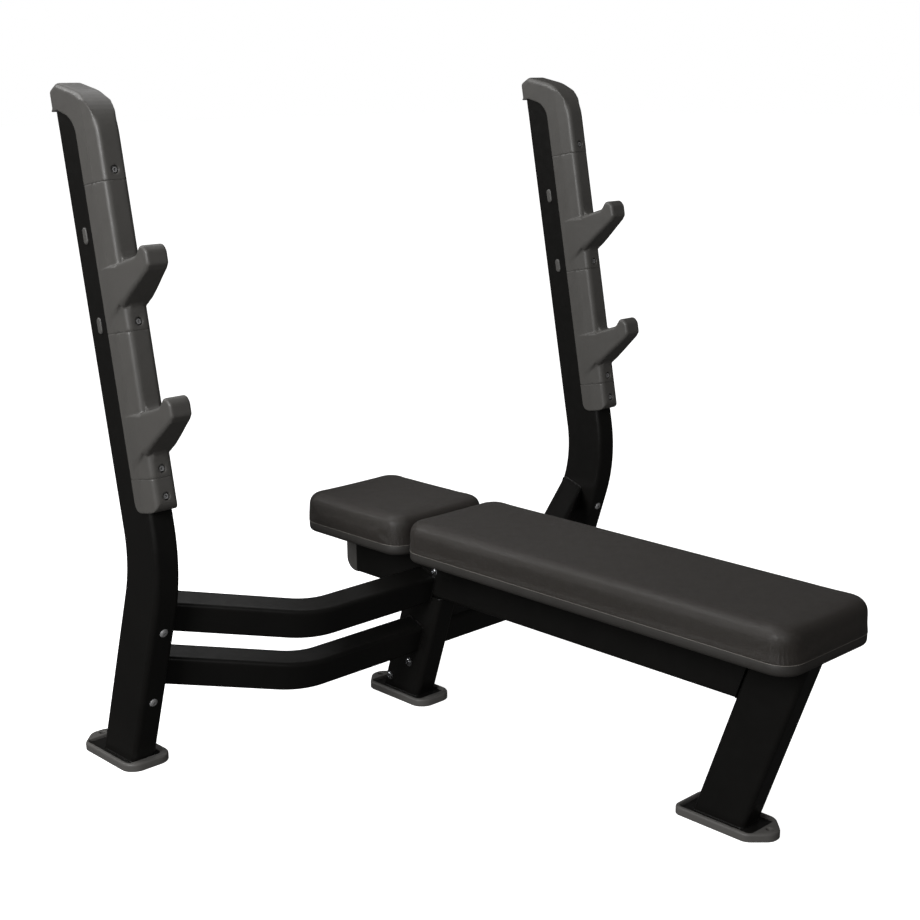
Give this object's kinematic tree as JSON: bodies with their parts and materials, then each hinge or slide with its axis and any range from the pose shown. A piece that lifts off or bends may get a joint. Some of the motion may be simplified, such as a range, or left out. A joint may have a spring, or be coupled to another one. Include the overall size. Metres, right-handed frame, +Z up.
{
  "type": "olympic bench press",
  "caption": "Flat weight bench with padded back and head rests, joined by cross tubes to bent uprights that carry barbell hooks at low and high positions.",
  "frame": {"origin": "on the floor, at the middle of the object's footprint", "axes": "+Z up; +X across the bench from one upright to the other; +Y from the foot end of the bench to the head end, so -Y is where the lifter's feet are"},
  "size_m": [1.274, 1.284, 1.25],
  "materials": {
    "powder_coated_steel": "satin black powder coat with fine orange peel",
    "moulded_cover": "satin charcoal moulding",
    "foot_moulding": "matt dark grey moulding",
    "slot_plug": "matt light grey moulding",
    "pad_vinyl": "fine grained brown-black upholstery vinyl",
    "pad_shell": "finely textured black moulding",
    "pad_board": "raw plywood",
    "hook_steel": "plain steel plate",
    "zinc_fastener": "bright zinc plated"
  },
  "bodies": {
    "root": {"left_upright_tube": "powder_coated_steel", "left_upper_cross_tube": "powder_coated_steel", "left_lower_cross_tube": "powder_coated_steel", "left_foot": "foot_moulding", "left_base_plate": "powder_coated_steel", "left_end_cover": "moulded_cover", "left_end_screw": "zinc_fastener", "left_lower_hook_cover": "moulded_cover", "left_lower_hook_core": "hook_steel", "left_lower_hook_screw": "zinc_fastener", "left_upper_hook_cover": "moulded_cover", "left_upper_hook_core": "hook_steel", "left_upper_hook_screw": "zinc_fastener", "left_top_cap": "moulded_cover", "left_cap_screw": "zinc_fastener", "left_slot_plug_1": "slot_plug", "left_slot_plug_2": "slot_plug", "left_front_plug_1": "zinc_fastener", "left_front_plug_2": "zinc_fastener", "right_upright_tube": "powder_coated_steel", "right_upper_cross_tube": "powder_coated_steel", "right_lower_cross_tube": "powder_coated_steel", "right_foot": "foot_moulding", "right_base_plate": "powder_coated_steel", "right_end_cover": "moulded_cover", "right_end_screw": "zinc_fastener", "right_lower_hook_cover": "moulded_cover", "right_lower_hook_core": "hook_steel", "right_lower_hook_screw": "zinc_fastener", "right_upper_hook_cover": "moulded_cover", "right_upper_hook_core": "hook_steel", "right_upper_hook_screw": "zinc_fastener", "right_top_cap": "moulded_cover", "right_cap_screw": "zinc_fastener", "right_slot_plug_1": "slot_plug", "right_slot_plug_2": "slot_plug", "right_front_plug_1": "zinc_fastener", "right_front_plug_2": "zinc_fastener", "rear_leg_tube": "powder_coated_steel", "front_leg_tube": "powder_coated_steel", "rear_leg_foot": "foot_moulding", "rear_leg_base_plate": "powder_coated_steel", "front_leg_foot": "foot_moulding", "front_leg_base_plate": "powder_coated_steel", "main_beam": "powder_coated_steel", "beam_end_cap": "foot_moulding", "rear_leg_bolt_1": "zinc_fastener", "rear_leg_bolt_2": "zinc_fastener", "left_beam_bolt": "zinc_fastener", "right_beam_bolt": "zinc_fastener", "main_pad_cushion": "pad_vinyl", "main_pad_shell": "pad_shell", "main_pad_board": "pad_board", "head_pad_cushion": "pad_vinyl", "head_pad_shell": "pad_shell", "head_pad_board": "pad_board", "front_pad_bracket": "powder_coated_steel", "rear_pad_bracket": "powder_coated_steel", "head_pad_bracket": "powder_coated_steel"}
  },
  "joints": []
}
